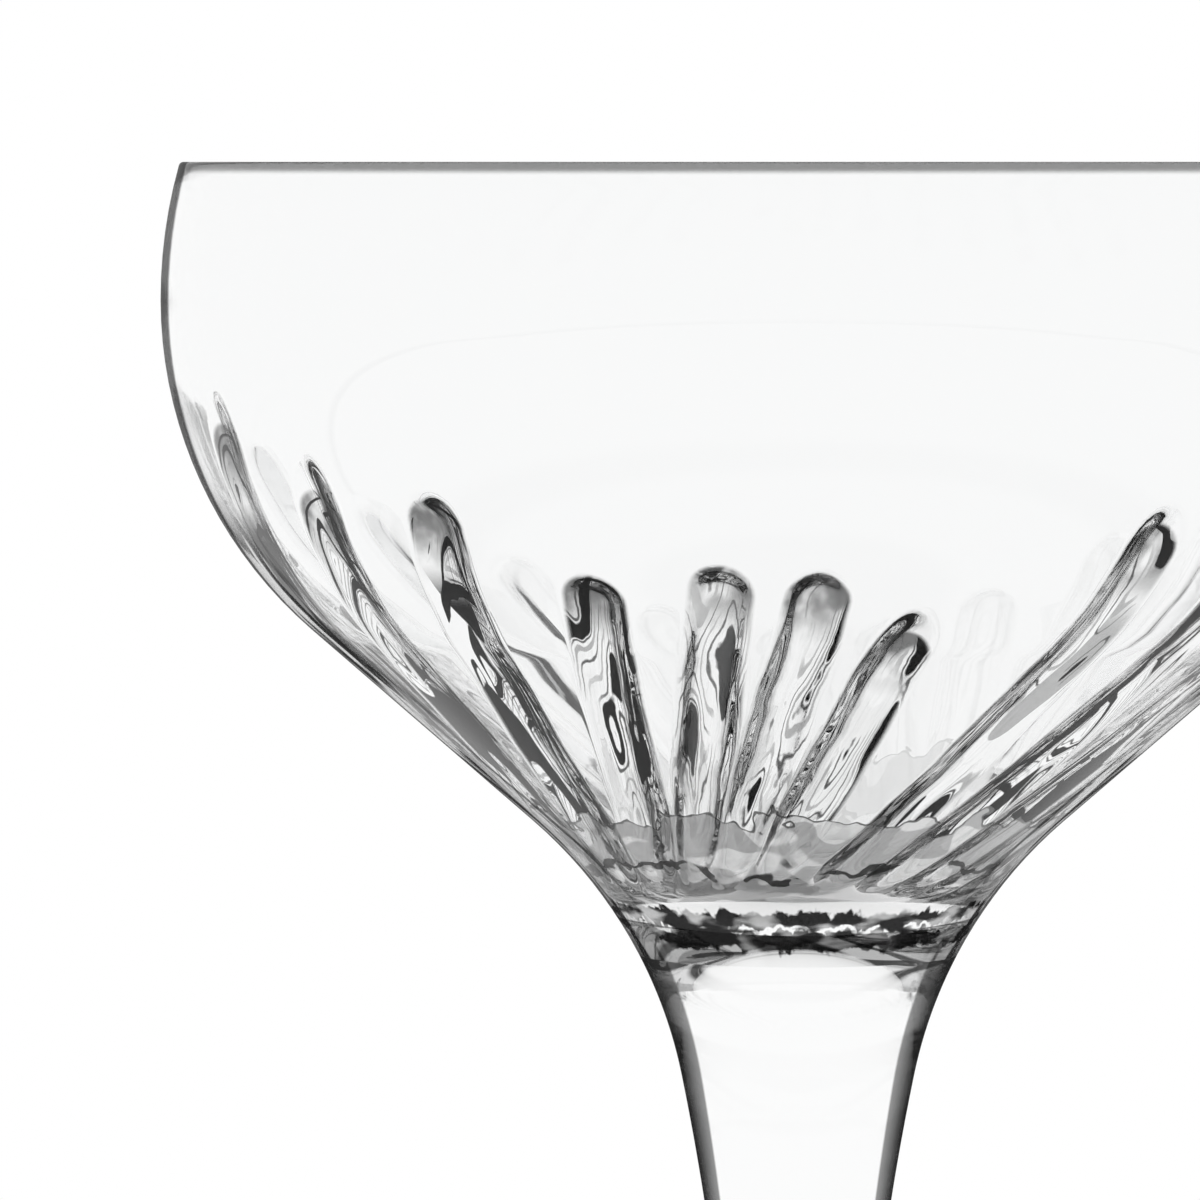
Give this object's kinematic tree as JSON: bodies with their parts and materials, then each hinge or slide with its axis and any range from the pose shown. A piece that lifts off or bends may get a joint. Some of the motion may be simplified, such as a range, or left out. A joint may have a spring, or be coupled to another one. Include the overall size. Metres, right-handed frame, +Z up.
{
  "type": "coupe glass",
  "caption": "Stemmed coupe glass in clear glass: a wide shallow bowl with raised petals inside its lower half, a solid flared stem and a round foot.",
  "frame": {"origin": "on the table, under the middle of the foot", "axes": "+Z up along the stem towards the rim, -Y to the front of the glass, where the petals' tips are seen in the picture"},
  "size_m": [0.098, 0.098, 0.14],
  "materials": {
    "bowl_glass": "clear glass, fire-polished outside, raised petals inside",
    "stem_glass": "clear solid glass, fire-polished",
    "foot_glass": "clear glass, fire-polished, ground flat where it stands"
  },
  "bodies": {
    "root": {"bowl": "bowl_glass", "stem": "stem_glass", "foot": "foot_glass"}
  },
  "joints": []
}
